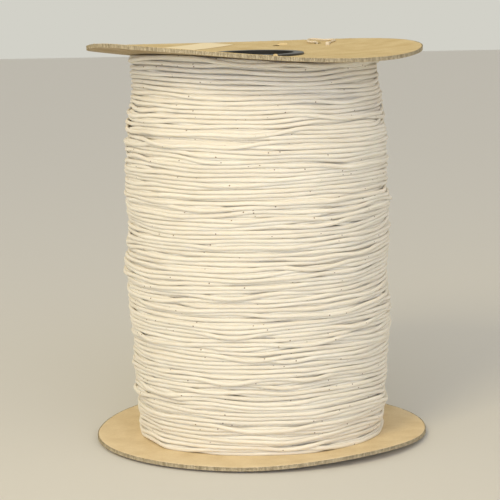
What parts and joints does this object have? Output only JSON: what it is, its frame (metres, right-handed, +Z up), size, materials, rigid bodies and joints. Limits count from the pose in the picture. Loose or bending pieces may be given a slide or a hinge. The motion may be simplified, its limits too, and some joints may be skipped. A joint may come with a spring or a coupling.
{
  "type": "cord reel",
  "caption": "Upright reel of soft cotton cord wound on a paper tube between two corrugated-board flanges with moulded plugs.",
  "frame": {"origin": "centre of the bottom plug's lip face, on the surface the reel stands on", "axes": "+Z up along the tube towards the curled top flange; the free tail lies on the +Y side"},
  "size_m": [0.305, 0.305, 0.3677],
  "materials": {
    "kraft_liner": "matte kraft liner paper",
    "fluted_paper": "rough fluting paper",
    "tube_board": "spiral-wound grey-brown paperboard",
    "plug_plastic": "black injection-moulded polypropylene",
    "cotton_cord": "unbleached knitted cotton cover with seed specks",
    "cotton_cover": "unbleached cotton cover, empty and limp",
    "tag_paper": "uncoated cream paper"
  },
  "bodies": {
    "root": {"top_outer_liner": "kraft_liner", "top_fluting": "fluted_paper", "top_inner_liner": "kraft_liner", "bottom_inner_liner": "kraft_liner", "bottom_fluting": "fluted_paper", "bottom_outer_liner": "kraft_liner", "core_tube": "tube_board", "top_hub": "plug_plastic", "bottom_hub": "plug_plastic", "cord_winding": "cotton_cord", "cord_tail": "cotton_cover", "tail_knot": "cotton_cover", "top_tag": "tag_paper"}
  },
  "joints": []
}
